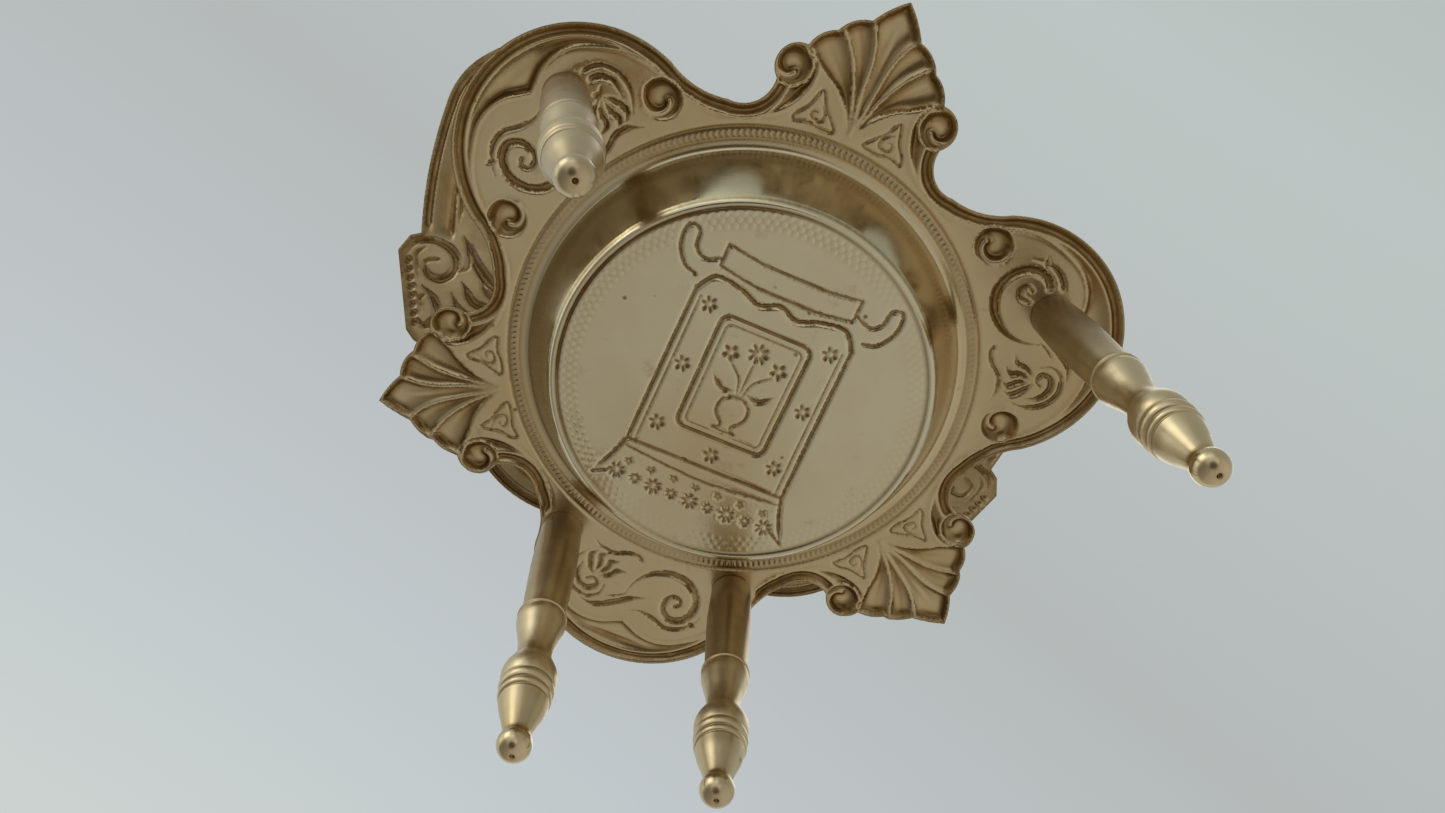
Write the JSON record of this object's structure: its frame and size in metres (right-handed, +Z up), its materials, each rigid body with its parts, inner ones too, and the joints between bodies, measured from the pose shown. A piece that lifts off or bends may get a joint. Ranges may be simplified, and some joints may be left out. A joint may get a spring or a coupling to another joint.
{
  "type": "photo album stand",
  "caption": "Miniature chair-shaped album stand: stamped dish seat on turned legs, with an ornate cover plate hinged at the rear.",
  "frame": {"origin": "on the floor under the dish's axis", "axes": "+Z up, -Y to the front (the wide pair of legs), +Y to the hinge, +X to the right seen from the front"},
  "size_m": [0.1148, 0.1017, 0.1185],
  "materials": {
    "stamped_sheet": "satin, slightly tarnished",
    "turned_brass": "satin, turned",
    "fittings": "dull"
  },
  "bodies": {
    "stand": {"seat_plate": "stamped_sheet", "leg_front_left": "turned_brass", "leg_front_right": "turned_brass", "leg_rear_left": "turned_brass", "leg_rear_right": "turned_brass", "screw_front_left": "fittings", "screw_front_right": "fittings", "screw_rear_left": "fittings", "screw_rear_right": "fittings", "washer_front_left": "fittings", "washer_front_right": "fittings", "washer_rear_left": "fittings", "washer_rear_right": "fittings", "hinge_leaf_seat": "fittings", "hinge_pin": "fittings"},
    "cover": {"cover_plate": "stamped_sheet", "hinge_leaf_cover": "fittings", "rivet_left": "fittings", "rivet_right": "fittings"}
  },
  "joints": [
    {"name": "cover_hinge", "type": "hinge", "parent": "stand", "child": "cover", "pos_m": [0, 0.045, 0.0502], "axis": [-1, 0, 0], "range_deg": [-42.6, 57.4]}
  ]
}
